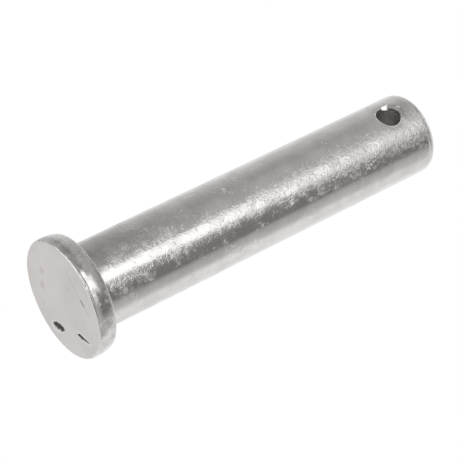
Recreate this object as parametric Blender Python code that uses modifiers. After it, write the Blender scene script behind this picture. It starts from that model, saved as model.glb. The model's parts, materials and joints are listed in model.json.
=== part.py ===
"""A headed pin with a cross hole for a split pin, upset and turned from one steel bar.

Metres, +Z from the head to the tip. The origin is the centre of the head's outer face,
on which the pin stands, and the cross hole runs along X.
"""

import math

import bmesh
import bpy
from mathutils import Matrix, Vector

# Driving dimensions: the shank and its rounded tip
SHANK_DIAMETER = 0.0140
LENGTH_UNDER_HEAD = 0.0676
TIP_ROUND_LENGTH = 0.0013
TIP_ROUND_DEPTH = 0.0008

# Driving dimensions: the upset head
HEAD_DIAMETER = 0.0201
HEAD_THICKNESS = 0.0034
HEAD_WIDEST_AT = 0.00105
HEAD_SWELL_RADIUS = 0.0072
HEAD_EDGE_RADIUS = 0.00012
NECK_FILLET_RADIUS = 0.0004

# Driving dimensions: the cross hole and its deburred mouths
HOLE_DIAMETER = 0.0042
HOLE_TO_TIP = 0.0060
MOUTH_DIAMETER = 0.0058
MOUTH_DEPTH = 0.0002

# Driving dimensions: two laps that the upsetting left open in the head's outer face
BROAD_LAP_LENGTH = 0.0030
BROAD_LAP_WIDTH = 0.0012
BROAD_LAP_DEPTH = 0.0004
BROAD_LAP_TAPER = 0.15
BROAD_LAP_TO_EDGE = 0.00335
BROAD_LAP_BEARING = math.radians(-177)
BROAD_LAP_HEADING = math.radians(64)
NARROW_LAP_LENGTH = 0.0030
NARROW_LAP_WIDTH = 0.0010
NARROW_LAP_DEPTH = 0.0004
NARROW_LAP_TAPER = 0.75
NARROW_LAP_TO_EDGE = 0.00315
NARROW_LAP_BEARING = math.radians(116)
NARROW_LAP_HEADING = math.radians(74)

# Worked out from the driving dimensions
SHANK_RADIUS = SHANK_DIAMETER / 2
HEAD_RADIUS = HEAD_DIAMETER / 2
OVERALL_LENGTH = HEAD_THICKNESS + LENGTH_UNDER_HEAD
HOLE_HEIGHT = OVERALL_LENGTH - HOLE_TO_TIP

# How finely round stretches are divided
TURNS_STEPS = 128
BORE_STEPS = 48
SWELL_STEPS = 4
EDGE_STEPS = 3
MOUTH_STEPS = 4
FILLET_STEPS = 4
TIP_STEPS = 6
LAP_SEGMENTS = 20
LAP_RINGS = 10
MERGE_DISTANCE = 1e-6
SHARP_ANGLE = math.radians(25)

# How far a cutter runs on past the surface that it opens
CUTTER_OVERRUN = 0.0010
MOUTH_OVERRUN = 0.0003
LAP_OVERRUN_SHARE = 0.15

# Bright zinc over steel
ZINC_COLOUR = (0.60, 0.59, 0.57, 1.0)
ZINC_ROUGHNESS = 0.34


def clear_scene():
    for thing in list(bpy.data.objects):
        bpy.data.objects.remove(thing, do_unlink=True)


def new_collection(name, hidden=False):
    group = bpy.data.collections.new(name)
    group.hide_render = hidden
    bpy.context.scene.collection.children.link(group)
    return group


def zinc_material():
    zinc = bpy.data.materials.new("zinc_plated_steel")
    zinc.use_nodes = True
    shader = zinc.node_tree.nodes["Principled BSDF"]
    shader.inputs["Base Color"].default_value = ZINC_COLOUR
    shader.inputs["Metallic"].default_value = 1.0
    shader.inputs["Roughness"].default_value = ZINC_ROUGHNESS
    return zinc


def arc_points(centre, radii, start, end, steps):
    """Points (radius, height) along an elliptical arc, both ends included."""
    points = []
    for step in range(steps + 1):
        angle = start + (end - start) * step / steps
        across = centre[0] + radii[0] * math.cos(angle)
        up = centre[1] + radii[1] * math.sin(angle)
        points.append((across, up))
    return points


def head_side(edge):
    """Points (radius, height) down the head's swollen side, its two rounded edges included.

    The side is one arc that is widest near the outer face, where the punch struck the
    head. Each edge's round touches both that arc and the flat face beside it.
    """
    middle = (HEAD_RADIUS - HEAD_SWELL_RADIUS, HEAD_WIDEST_AT)
    inner_radius = HEAD_SWELL_RADIUS - edge
    quarter = math.pi / 2
    upper_meets = math.asin((HEAD_THICKNESS - edge - HEAD_WIDEST_AT) / inner_radius)
    lower_meets = math.asin((edge - HEAD_WIDEST_AT) / inner_radius)
    upper_middle = (middle[0] + inner_radius * math.cos(upper_meets), HEAD_THICKNESS - edge)
    lower_middle = (middle[0] + inner_radius * math.cos(lower_meets), edge)
    swell = (HEAD_SWELL_RADIUS, HEAD_SWELL_RADIUS)

    points = arc_points(upper_middle, (edge, edge), quarter, upper_meets, EDGE_STEPS)
    points += arc_points(middle, swell, upper_meets, 0.0, SWELL_STEPS)[1:]
    points += arc_points(middle, swell, 0.0, lower_meets, SWELL_STEPS)[1:-1]
    points += arc_points(lower_middle, (edge, edge), lower_meets, -quarter, EDGE_STEPS)
    return points


def pin_profile():
    """Half the pin's section as (radius, height), from the tip's centre down to the head's."""
    # A round is never larger than the wall that it sits on
    tip_length = min(TIP_ROUND_LENGTH, HOLE_TO_TIP / 2)
    tip_depth = min(TIP_ROUND_DEPTH, SHANK_RADIUS / 2)
    overhang = HEAD_RADIUS - SHANK_RADIUS
    edge = min(HEAD_EDGE_RADIUS, HEAD_THICKNESS / 4, overhang / 4)
    fillet = min(NECK_FILLET_RADIUS, overhang / 4)
    quarter = math.pi / 2

    profile = [(0.0, OVERALL_LENGTH)]
    profile += arc_points(
        (SHANK_RADIUS - tip_depth, OVERALL_LENGTH - tip_length),
        (tip_depth, tip_length), quarter, 0.0, TIP_STEPS,
    )
    # A plain ring on the shank keeps the facets round the cross hole short
    profile.append((SHANK_RADIUS, HOLE_HEIGHT - MOUTH_DIAMETER))
    profile += arc_points(
        (SHANK_RADIUS + fillet, HEAD_THICKNESS + fillet),
        (fillet, fillet), 2 * quarter, 3 * quarter, FILLET_STEPS,
    )
    profile += head_side(edge)
    profile.append((0.0, 0.0))
    return profile


def bore_profile():
    """Half the cross hole's section as (radius, distance along it), end to end."""
    end_at = SHANK_RADIUS + CUTTER_OVERRUN
    hole_radius = HOLE_DIAMETER / 2
    return [(0.0, end_at), (hole_radius, end_at), (hole_radius, -end_at), (0.0, -end_at)]


def mouth_profile():
    """Half of a mouth cutter's section as (radius, height over the shank's surface).

    Its slope starts inside the hole and runs on past the shank's surface.
    """
    slope = MOUTH_DEPTH / (MOUTH_DIAMETER / 2 - HOLE_DIAMETER / 2)
    inner = (HOLE_DIAMETER / 2 - MOUTH_OVERRUN, -MOUTH_DEPTH - slope * MOUTH_OVERRUN)
    outer = (MOUTH_DIAMETER / 2 + MOUTH_OVERRUN, slope * MOUTH_OVERRUN)
    profile = [(0.0, CUTTER_OVERRUN), (outer[0], CUTTER_OVERRUN)]
    for step in range(MOUTH_STEPS + 1):
        share = step / MOUTH_STEPS
        across = outer[0] + (inner[0] - outer[0]) * share
        up = outer[1] + (inner[1] - outer[1]) * share
        profile.append((across, up))
    profile.append((0.0, inner[1]))
    return profile


def turned(name, profile, steps, group):
    """An object whose profile, running down its outer side, is turned about Z."""
    mesh = bpy.data.meshes.new(name)
    outline = [(radius, 0.0, height) for radius, height in profile]
    joints = [(index, index + 1) for index in range(len(outline) - 1)]
    mesh.from_pydata(outline, joints, [])
    body = bpy.data.objects.new(name, mesh)
    group.objects.link(body)
    lathe = body.modifiers.new("turning", "SCREW")
    lathe.axis = "Z"
    lathe.angle = 2 * math.pi
    lathe.steps = steps
    lathe.render_steps = steps
    lathe.use_merge_vertices = True
    lathe.merge_threshold = MERGE_DISTANCE
    lathe.use_smooth_shade = True
    return body


def as_cutter(tool):
    tool.hide_render = True
    tool.display_type = "WIRE"
    return tool


def cut(body, tool, name):
    boolean = body.modifiers.new(name, "BOOLEAN")
    boolean.operation = "DIFFERENCE"
    boolean.solver = "EXACT"
    boolean.object = tool


def settle_mesh(body):
    """Turns a body and its modifiers into one plain mesh, smooth but for its real edges."""
    bpy.context.view_layer.update()
    graph = bpy.context.evaluated_depsgraph_get()
    solid = bpy.data.meshes.new_from_object(body.evaluated_get(graph))
    body.modifiers.clear()
    body.data = solid
    solid.name = body.name
    solid.shade_smooth()
    solid.set_sharp_from_angle(angle=SHARP_ANGLE)


def bore_cutter(group):
    tool = turned("cross_hole_cutter", bore_profile(), BORE_STEPS, group)
    tool.rotation_euler = (0.0, math.pi / 2, 0.0)
    tool.location = (0.0, 0.0, HOLE_HEIGHT)
    return as_cutter(tool)


def mouth_cutter(name, side, group):
    """A shallow dished cutter for one of the hole's mouths, bent to the shank's round."""
    tool = turned(name, mouth_profile(), BORE_STEPS, group)
    settle_mesh(tool)
    bent = bmesh.new()
    bent.from_mesh(tool.data)
    # Half a step's turn keeps its edges clear of the edges of the drilled hole
    half_step = Matrix.Rotation(math.pi / BORE_STEPS, 4, "Z")
    bmesh.ops.transform(bent, matrix=half_step, verts=bent.verts)
    for vert in bent.verts:
        vert.co.z += math.sqrt(SHANK_RADIUS ** 2 - vert.co.y ** 2)
    # Bending leaves four-sided faces that aren't flat, so they are cut into triangles
    bmesh.ops.triangulate(bent, faces=bent.faces[:])
    bent.to_mesh(tool.data)
    bent.free()
    tool.rotation_euler = (0.0, side * math.pi / 2, 0.0)
    tool.location = (0.0, 0.0, HOLE_HEIGHT)
    return as_cutter(tool)


def lap_cutter(name, size, taper, to_edge, bearing, heading, group):
    """A boat-shaped cutter, sunk into the head's outer face by its own depth.

    The taper is the share of its width that it loses at its far end.
    """
    length, width, depth = size
    overrun = depth * LAP_OVERRUN_SHARE
    from_axis = HEAD_RADIUS - to_edge
    mesh = bpy.data.meshes.new(name)
    hull = bmesh.new()
    bmesh.ops.create_uvsphere(hull, u_segments=LAP_SEGMENTS, v_segments=LAP_RINGS, radius=1.0)
    stretch = Matrix.Diagonal(Vector((length / 2, width / 2, depth + overrun, 1.0)))
    bmesh.ops.transform(hull, matrix=stretch, verts=hull.verts)
    for vert in hull.verts:
        vert.co.y *= 1 - taper * (0.5 + vert.co.x / length)
    hull.to_mesh(mesh)
    hull.free()
    tool = bpy.data.objects.new(name, mesh)
    group.objects.link(tool)
    tool.rotation_euler = (0.0, 0.0, heading)
    tool.location = (from_axis * math.cos(bearing), from_axis * math.sin(bearing), -overrun)
    return as_cutter(tool)


def make_pin():
    clear_scene()
    part_group = new_collection("blade_pin")
    cutter_group = new_collection("cutters", hidden=True)

    pin = turned("blade_pin", pin_profile(), TURNS_STEPS, part_group)
    pin.data.materials.append(zinc_material())
    cut(pin, mouth_cutter("near_mouth_cutter", 1, cutter_group), "near mouth")
    cut(pin, mouth_cutter("far_mouth_cutter", -1, cutter_group), "far mouth")
    cut(pin, bore_cutter(cutter_group), "cross hole")
    broad_lap = lap_cutter(
        "broad_lap_cutter",
        (BROAD_LAP_LENGTH, BROAD_LAP_WIDTH, BROAD_LAP_DEPTH), BROAD_LAP_TAPER,
        BROAD_LAP_TO_EDGE, BROAD_LAP_BEARING, BROAD_LAP_HEADING, cutter_group,
    )
    cut(pin, broad_lap, "broad lap")
    narrow_lap = lap_cutter(
        "narrow_lap_cutter",
        (NARROW_LAP_LENGTH, NARROW_LAP_WIDTH, NARROW_LAP_DEPTH), NARROW_LAP_TAPER,
        NARROW_LAP_TO_EDGE, NARROW_LAP_BEARING, NARROW_LAP_HEADING, cutter_group,
    )
    cut(pin, narrow_lap, "narrow lap")
    settle_mesh(pin)


make_pin()
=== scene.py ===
# %% [markdown]
# # A headed pin with a cross hole, dressed for a photograph
#
# This lesson starts from a finished solid model of a steel pin: a round head, a plain
# shank 14 mm thick, and a hole across its far end for a split pin. The solid has the right
# sizes. Here the pin gets its looks: softened edges, the small faults of a pressed head,
# and a coat of bright zinc that has been handled.
#
# Everything is in metres, with the head on the floor and the tip pointing up.

# %% Load the solid model and note its size
import json
import math

import bmesh
import bpy
from mathutils import Matrix, Vector, noise

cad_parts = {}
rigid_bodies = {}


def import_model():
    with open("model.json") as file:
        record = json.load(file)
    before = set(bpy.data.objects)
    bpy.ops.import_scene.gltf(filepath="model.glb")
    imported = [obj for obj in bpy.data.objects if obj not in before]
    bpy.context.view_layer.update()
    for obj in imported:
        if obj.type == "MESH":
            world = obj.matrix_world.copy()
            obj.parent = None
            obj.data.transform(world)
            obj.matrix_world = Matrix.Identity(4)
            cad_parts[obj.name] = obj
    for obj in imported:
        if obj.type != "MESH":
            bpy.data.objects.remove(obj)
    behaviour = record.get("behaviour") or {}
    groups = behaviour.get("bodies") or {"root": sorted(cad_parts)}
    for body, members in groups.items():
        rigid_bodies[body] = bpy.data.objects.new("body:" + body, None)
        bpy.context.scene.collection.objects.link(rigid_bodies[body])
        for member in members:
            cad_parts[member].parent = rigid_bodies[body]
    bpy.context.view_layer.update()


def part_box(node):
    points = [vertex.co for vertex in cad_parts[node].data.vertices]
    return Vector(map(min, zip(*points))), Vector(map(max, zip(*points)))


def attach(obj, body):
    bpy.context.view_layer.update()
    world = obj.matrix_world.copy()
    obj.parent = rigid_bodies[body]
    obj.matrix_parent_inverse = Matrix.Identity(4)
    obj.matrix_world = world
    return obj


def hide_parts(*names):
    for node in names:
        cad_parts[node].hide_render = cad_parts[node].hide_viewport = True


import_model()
MM = 0.001

_, solid_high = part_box("blade_pin")
TOTAL_LENGTH = solid_high.z
HEAD_WIDEST = solid_high.x
print("solid pin, length and head width in mm:",
      round(TOTAL_LENGTH / MM, 2), round(2 * HEAD_WIDEST / MM, 2))

# %% [markdown]
# ## The camera
#
# The photograph looks at the head's outer face and along the shank, from about 61 degrees
# off the pin's axis. On a pin that stands on its head, that is a camera below the floor,
# looking up, and rolled so that the tip lies to the upper right. A long lens keeps the
# shank's two sides nearly parallel, as they are in the picture. The camera could be placed
# with constraints, but four plain numbers and one target point are easier to read: how far
# away it is, its bearing round the pin, its height angle and its roll.

# %% Place the camera
AIM = Vector((-1.8513, 0.7225, 32.2358)) * MM
CAMERA_AWAY = 312.63 * MM
CAMERA_BEARING = math.radians(33.8709)
CAMERA_HEIGHT_ANGLE = math.radians(-28.4743)
CAMERA_ROLL = math.radians(63.8799)


def direction(bearing, height_angle):
    """The unit vector with a bearing round Z and an angle above the floor."""
    flat = math.cos(height_angle)
    return Vector((flat * math.cos(bearing), flat * math.sin(bearing), math.sin(height_angle)))


lens = bpy.data.cameras.new("photograph_camera")
lens.lens = 151.469
lens.sensor_width = 36.0
lens.clip_start = 0.01
lens.clip_end = 20.0
camera = bpy.data.objects.new("photograph_camera", lens)
bpy.context.scene.collection.objects.link(camera)
towards_camera = direction(CAMERA_BEARING, CAMERA_HEIGHT_ANGLE)
camera.location = AIM + towards_camera * CAMERA_AWAY
looking = (-towards_camera).to_track_quat("-Z", "Y")
camera.rotation_euler = (
    looking.to_matrix() @ Matrix.Rotation(CAMERA_ROLL, 3, "Z")
).to_euler()
bpy.context.scene.camera = camera
print("camera at, in mm:", [round(value / MM, 1) for value in camera.location])

# %% [markdown]
# ## The turned body
#
# The real pin starts as round bar. Its head is upset, which means pressed thick in a die,
# and its tip is rounded. Everything but the hole is round about one axis, so the simplest
# way to make it is the way of a lathe: draw half of the section once and spin it.
#
# The section starts as a few corner points. A vertex bevel rounds the corners, which gives
# true arcs and leaves the straight stretches straight. The tip's round is longer than it
# is deep, so its arc is drawn out along the axis after the bevel. Two extra points on the
# shank mark off the stretch that the hole needs.
#
# The head's side isn't straight. It swells like a barrel, and it is widest not half way
# up but near the face, where the punch struck it. The highlight on it sits there too.

# %% Draw half the section and round its corners
SHANK_RADIUS = 7.0 * MM
HEAD_THICKNESS = 3.4 * MM
WIDEST_AT = 1.05 * MM
BARREL_RADIUS = 7.2 * MM
HOLE_HEIGHT = TOTAL_LENGTH - 6.0 * MM
TIP_ROUND_DEPTH = 0.8 * MM
TIP_ROUND_LENGTH = 1.3 * MM
FACE_EDGE_ROUND = 0.28 * MM
HOLE_STRETCH = 3.5 * MM


def barrel(height):
    """The radius of the head's side at a height above the face."""
    return HEAD_WIDEST - (height - WIDEST_AT) ** 2 / (2 * BARREL_RADIUS)


FACE_EDGE_RADIUS = barrel(0.0)
BACK_EDGE_RADIUS = barrel(HEAD_THICKNESS)

# Radius, height, size of the round and its number of steps
SECTION = (
    (0.0, TOTAL_LENGTH, 0.0, 0),
    (SHANK_RADIUS, TOTAL_LENGTH, TIP_ROUND_DEPTH, 10),
    (SHANK_RADIUS, HOLE_HEIGHT + HOLE_STRETCH, 0.0, 0),
    (SHANK_RADIUS, HOLE_HEIGHT - HOLE_STRETCH, 0.0, 0),
    (SHANK_RADIUS, HEAD_THICKNESS, 0.4 * MM, 6),
    (BACK_EDGE_RADIUS, HEAD_THICKNESS, 0.20 * MM, 6),
    (FACE_EDGE_RADIUS, 0.0, FACE_EDGE_ROUND, 10),
    (0.0, 0.0, 0.0, 0),
)

body = bmesh.new()
corners = [body.verts.new((radius, 0.0, height)) for radius, height, _, _ in SECTION]
for upper, lower in zip(corners, corners[1:]):
    body.edges.new((upper, lower))
for corner, (_, _, size, steps) in zip(corners, SECTION):
    if size:
        bmesh.ops.bevel(
            body, geom=[corner], offset=size, offset_type="OFFSET", affect="VERTICES",
            segments=steps, profile=0.5, material=-1,
        )
stretch = TIP_ROUND_LENGTH / TIP_ROUND_DEPTH
for vert in body.verts:
    below_top = TOTAL_LENGTH - vert.co.z
    if vert.co.x > SHANK_RADIUS - TIP_ROUND_DEPTH and below_top < TIP_ROUND_DEPTH * 1.01:
        vert.co.z = TOTAL_LENGTH - below_top * stretch
print("section points after rounding:", len(body.verts))

# %% [markdown]
# ## Enough rings for small faults
#
# The faults on this pin are a few tenths of a millimetre across, and a point can be moved
# only where there is one. So the long stretches of the section are cut up before the spin:
# finely on the head's face, on its side and round the cross hole, coarsely elsewhere. The
# head's side is then pushed out from its straight line into the barrel.

# %% Cut up the long stretches and swell the head's side
LONG_EDGE = 1.2 * MM
HEAD_SIDE_FROM = 9.3 * MM
RING_PLAN = (
    # Name, a test on an edge's middle, number of cuts
    ("tip face", lambda middle: middle.z > TOTAL_LENGTH - 0.01 * MM, 14),
    ("round the hole", lambda middle: abs(middle.z - HOLE_HEIGHT) < 1.0 * MM, 48),
    ("shank", lambda middle: 20 * MM < middle.z < 45 * MM, 46),
    ("under the head", lambda middle: middle.z > 3.39 * MM and middle.x > 7.5 * MM, 9),
    ("head side", lambda middle: middle.x > 9.5 * MM and 1 * MM < middle.z < 2.5 * MM, 24),
    ("head face", lambda middle: middle.z < 0.01 * MM, 46),
)
for stretch_name, is_there, cuts in RING_PLAN:
    long_edges = [
        edge for edge in body.edges
        if edge.calc_length() > LONG_EDGE
        and is_there((edge.verts[0].co + edge.verts[1].co) / 2)
    ]
    bmesh.ops.subdivide_edges(body, edges=long_edges, cuts=cuts)
    print(stretch_name, "edges cut up:", len(long_edges))

for vert in body.verts:
    if vert.co.x > HEAD_SIDE_FROM and 0.0 < vert.co.z < HEAD_THICKNESS:
        up_side = vert.co.z / HEAD_THICKNESS
        straight = FACE_EDGE_RADIUS + (BACK_EDGE_RADIUS - FACE_EDGE_RADIUS) * up_side
        vert.co.x += barrel(vert.co.z) - straight

# %% [markdown]
# ## The spin
#
# A full spin closes on itself when its merge option is on. The points on the axis are
# still one for every step, so doubles are merged, and the normals are made to point
# outwards, because a spin can leave them either way.

# %% Spin the section into the body
TURN_STEPS = 368
bmesh.ops.spin(
    body, geom=body.verts[:] + body.edges[:], cent=(0, 0, 0), axis=(0, 0, 1),
    angle=2 * math.pi, steps=TURN_STEPS, use_merge=True,
)
bmesh.ops.remove_doubles(body, verts=body.verts[:], dist=0.0004 * MM)
bmesh.ops.recalc_face_normals(body, faces=body.faces[:])
print("body faces:", len(body.faces), "open edges:", sum(e.is_boundary for e in body.edges))

# %% [markdown]
# ## Faults in the pressed face
#
# When the bar's end is pressed, small folds stay open in it. Two of them show as dark
# pits near the face's edge: a broad one, and a narrow one that runs out to a point. They
# could be cut with a Boolean, but a cut has a hard, even lip. Here the face gets a finer
# mesh round each fold and its points are pushed in, with some noise on the outline, so
# that the lip is soft and ragged.

# %% Sink the two folds
FACE_SKIN = 0.01 * MM


def from_line(place, start, end):
    """Distance of a point from a line's nearest point, and how far along that is, 0 to 1."""
    run = end - start
    share = max(0.0, min(1.0, (place - start).dot(run) / run.length_squared))
    return (place - start - run * share).length, share


def smooth_step(value):
    value = max(0.0, min(1.0, value))
    return value * value * (3 - 2 * value)


def width_at(share, plan):
    """Half width at a share of the line, from a plan of shares and half widths."""
    for (one, width_one), (two, width_two) in zip(plan, plan[1:]):
        if share <= two:
            return width_one + (width_two - width_one) * (share - one) / (two - one)
    return plan[-1][1]


def fold(name, start, end, widths, depth, ragged):
    """Pushes the face in along a line, with the half widths of a plan."""
    start = Vector((*start, 0.0)) * MM
    end = Vector((*end, 0.0)) * MM
    near = [
        face for face in body.faces
        if abs(face.calc_center_median().z) < FACE_SKIN
        and from_line(face.calc_center_median(), start, end)[0] < 1.1 * MM
    ]
    edges = {edge for face in near for edge in face.edges}
    bmesh.ops.subdivide_edges(body, edges=list(edges), cuts=2, use_grid_fill=True)
    moved = 0
    for vert in body.verts:
        if abs(vert.co.z) > FACE_SKIN or vert.co.xy.length > FACE_EDGE_RADIUS:
            continue
        away, share = from_line(vert.co, start, end)
        half = width_at(share, widths) * MM
        half *= 1 + ragged * noise.noise(vert.co / MM * 1.7)
        if away < half:
            rough_floor = 1 + 0.6 * noise.noise(vert.co / MM * 2.5)
            vert.co.z = depth * MM * smooth_step((1 - away / half) * 1.6) * rough_floor
            moved += 1
    print(name, "points pushed in:", moved)


BROAD_WIDTHS = ((0.0, 0.55), (0.35, 0.95), (0.7, 0.90), (1.0, 0.50))
NARROW_WIDTHS = ((0.0, 0.12), (0.25, 0.50), (0.5, 0.34), (1.0, 0.10))
fold("broad fold", (-7.27, -1.52), (-6.16, 0.70), BROAD_WIDTHS, 0.38, 0.30)
fold("narrow fold", (-3.60, 4.50), (-2.62, 7.55), NARROW_WIDTHS, 0.36, 0.30)

# %% [markdown]
# ## Where the matt face ends
#
# The matt face stops at its rounded edge, which rubbing has left bright. Each face of the
# mesh carries the number of its finish. The border could be painted by the material
# instead, but a whole ring of faces gives it one clean line.

# %% Number the finishes
SHANK_FINISH, FACE_FINISH, BORE_FINISH = 0, 1, 2
face_ends = FACE_EDGE_RADIUS - 0.7 * FACE_EDGE_ROUND
for face in body.faces:
    middle = face.calc_center_median()
    on_face = middle.z < 0.6 * MM and middle.xy.length < face_ends
    face.material_index = FACE_FINISH if on_face else SHANK_FINISH
print("faces with the matt finish:",
      sum(face.material_index == FACE_FINISH for face in body.faces))

# %% [markdown]
# ## A knocked edge
#
# The edge of the face has been knocked against other pins. Each nick is a small dent: the
# points near it are drawn inwards, towards the pin's axis and up from the face. A slow
# waver on the whole edge keeps its highlight from being a perfect circle. Points only
# ever move inwards, so the pin stays inside its real size.

# %% Nick and waver the head's edges
NICKS = (
    # Bearing in degrees, length along the edge and depth in mm
    (-44.0, 0.5, 0.10), (-38.0, 0.5, 0.12), (-33.0, 0.4, 0.10), (-27.0, 0.4, 0.07),
    (-23.5, 0.4, 0.08), (-19.0, 0.5, 0.05), (-11.0, 0.7, 0.05), (-7.0, 0.3, 0.03),
    (1.0, 0.5, 0.05), (8.0, 0.9, 0.04), (16.0, 0.9, 0.04), (33.0, 0.4, 0.04),
    (118.0, 0.5, 0.07), (171.0, 0.5, 0.07), (228.0, 0.6, 0.08), (287.0, 0.4, 0.06),
)
EDGE_REACH = 0.55 * MM
NICK_RISE = 0.7
NICK_OVER_FACE = 0.3 * MM
WAVER_DEPTH = 0.05 * MM
OTHER_PATCH = Vector((7, 3, 1))

moved = 0
for vert in body.verts:
    spread = vert.co.xy.length
    if spread < BACK_EDGE_RADIUS - EDGE_REACH or vert.co.z > HEAD_THICKNESS + FACE_SKIN:
        continue
    moved += 1
    outward = Vector((vert.co.x, vert.co.y, 0.0)).normalized()
    from_face_edge = math.hypot(spread - FACE_EDGE_RADIUS, vert.co.z)
    from_back_edge = math.hypot(spread - BACK_EDGE_RADIUS, vert.co.z - HEAD_THICKNESS)
    bearing = math.degrees(math.atan2(vert.co.y, vert.co.x))
    inward = 0.0
    for at, length, depth in NICKS:
        off = (bearing - at + 180) % 360 - 180
        along = math.radians(off) * FACE_EDGE_RADIUS / (length * MM)
        inward += depth * MM * math.exp(-along * along * 3.0)
    inward += WAVER_DEPTH * (0.5 + 0.5 * noise.noise(outward * 5.0))
    push = inward * smooth_step(1 - from_face_edge / EDGE_REACH)
    back = WAVER_DEPTH * (0.5 + 0.5 * noise.noise(outward * 4.0 + OTHER_PATCH))
    back *= smooth_step(1 - from_back_edge / EDGE_REACH)
    vert.co -= outward * (push + back)
    if vert.co.z < HEAD_THICKNESS / 2:
        over_face = smooth_step((spread - FACE_EDGE_RADIUS) / NICK_OVER_FACE + 1)
        vert.co.z += push * NICK_RISE * over_face
print("nicks:", len(NICKS), "points near the head's edges:", moved)

# %% [markdown]
# ## A finer mesh where the hole comes out
#
# The cross hole will come out of the shank in two places, and each mouth gets a dish and a
# rounded edge. The mesh there is cut up once more before the hole is made. New points lie
# on the straight line between their neighbours, so they are put back on the round.

# %% Refine the shank where the hole's mouths will be
HOLE_RADIUS = 2.1 * MM
DISH_RADIUS = 2.95 * MM


def from_hole(place):
    """Distance from the cross hole's middle line, which runs along X."""
    return math.hypot(place.y, place.z - HOLE_HEIGHT)


near_mouths = [
    face for face in body.faces
    if from_hole(face.calc_center_median()) < DISH_RADIUS + 0.1 * MM
    and abs(face.calc_center_median().x) > 5.0 * MM
]
bmesh.ops.subdivide_edges(
    body, edges=list({edge for face in near_mouths for edge in face.edges}), cuts=1,
    use_grid_fill=True,
)
for vert in body.verts:
    if from_hole(vert.co) < DISH_RADIUS + 0.3 * MM and abs(vert.co.x) > 5.0 * MM:
        vert.co.xy *= SHANK_RADIUS / vert.co.xy.length
print("faces made finer near the mouths:", len(near_mouths))

# %% [markdown]
# ## The body becomes an object
#
# So far the body is a working mesh, which suits moving points about. A Boolean works on
# objects, so the mesh is written into one.

# %% Make an object of the body
def finished(name, working_mesh):
    """Writes a working mesh into a new object of the scene."""
    mesh = bpy.data.meshes.new(name)
    working_mesh.to_mesh(mesh)
    working_mesh.free()
    thing = bpy.data.objects.new(name, mesh)
    bpy.context.scene.collection.objects.link(thing)
    return thing


pin = finished("dressed_pin", body)
print("points in the whole body:", len(pin.data.vertices))

# %% [markdown]
# ## The cross hole
#
# The hole is drilled through after turning. A spun drill and a Boolean make it, because
# the two round shapes meet in a saddle curve that would be slow to build by hand.
#
# On the real pin the drill's burr was taken off afterwards, which left a shallow dish
# round each mouth. It follows the saddle, so no cutter that is round has its shape. It
# comes after the cut instead, by pushing the points near the mouth towards the axis.

# %% Shape the drill
OVERRUN = 0.5 * MM
BELOW_MOUTH = 4.8 * MM

drill = bmesh.new()
drill_half = (
    (0.0, SHANK_RADIUS + OVERRUN), (HOLE_RADIUS, SHANK_RADIUS + OVERRUN),
    (HOLE_RADIUS, BELOW_MOUTH), (HOLE_RADIUS, -BELOW_MOUTH),
    (HOLE_RADIUS, -SHANK_RADIUS - OVERRUN), (0.0, -SHANK_RADIUS - OVERRUN),
)
drill_corners = [drill.verts.new((along, 0.0, radius)) for radius, along in drill_half]
for one, two in zip(drill_corners, drill_corners[1:]):
    drill.edges.new((one, two))
wall = max(drill.edges, key=lambda edge: edge.calc_length())
bmesh.ops.subdivide_edges(drill, edges=[wall], cuts=32)
bmesh.ops.spin(
    drill, geom=drill.verts[:] + drill.edges[:], cent=(0, 0, 0), axis=(1, 0, 0),
    angle=2 * math.pi, steps=128, use_merge=True,
)
bmesh.ops.remove_doubles(drill, verts=drill.verts[:], dist=0.0004 * MM)
bmesh.ops.translate(drill, verts=drill.verts[:], vec=(0, 0, HOLE_HEIGHT))
bmesh.ops.recalc_face_normals(drill, faces=drill.faces[:])
for face in drill.faces:
    face.material_index = BORE_FINISH
drill_object = finished("drill", drill)
print("drill faces:", len(drill_object.data.polygons))

# %% [markdown]
# ## Three finishes on one piece
#
# The pin is one piece of steel, so it stays one mesh. Its three finishes are three
# materials on that mesh: bright zinc, the matt pressed face, and the drilled hole, where
# the plating is thin. The slots have to be filled before the cut, so that the hole's new
# faces can take the third one.

# %% Name the materials and make the cut
bright_zinc = bpy.data.materials.new("bright_zinc")
pressed_face = bpy.data.materials.new("pressed_face")
drilled_hole = bpy.data.materials.new("drilled_hole")
for finish in (bright_zinc, pressed_face, drilled_hole):
    finish.use_nodes = True
    pin.data.materials.append(finish)
    drill_object.data.materials.append(finish)

cut = pin.modifiers.new("cross_hole", "BOOLEAN")
cut.operation = "DIFFERENCE"
cut.solver = "EXACT"
cut.material_mode = "INDEX"
cut.object = drill_object
bpy.context.view_layer.update()
graph = bpy.context.evaluated_depsgraph_get()
drilled = bpy.data.meshes.new_from_object(pin.evaluated_get(graph))
pin.modifiers.clear()
pin.data = drilled
drilled.name = "dressed_pin_drilled"
bpy.data.objects.remove(drill_object)
print("faces inside the hole:",
      sum(face.material_index == BORE_FINISH for face in drilled.polygons))

# %% [markdown]
# ## Clean the cut edge
#
# A Boolean leaves a few hair-thin edges, and faces with five or more corners, which other
# programs may split badly. Both are tidied here, and the print says whether any edge is
# left open.

# %% Remove hair-thin edges and split the many-sided faces
cleaned = bmesh.new()
cleaned.from_mesh(drilled)
bmesh.ops.dissolve_degenerate(cleaned, dist=0.0002 * MM, edges=cleaned.edges[:])
many_sided = [face for face in cleaned.faces if len(face.verts) > 4]
bmesh.ops.triangulate(cleaned, faces=many_sided)
open_edges = sum(len(edge.link_faces) != 2 for edge in cleaned.edges)
cleaned.to_mesh(drilled)
cleaned.free()
print("many-sided faces cut up:", len(many_sided), "open edges:", open_edges)

# %% [markdown]
# ## Dished mouths
#
# The dish starts with a crisp rim and slopes in to the hole. The hole's own edge is
# broken. In one place the deburring tool bit deeper and left a flat, bright facet, and a
# knock has left a small dent. All of them are depths below the shank's surface, so they
# simply add up. They are taken along the hole, which keeps its wall straight.

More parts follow.
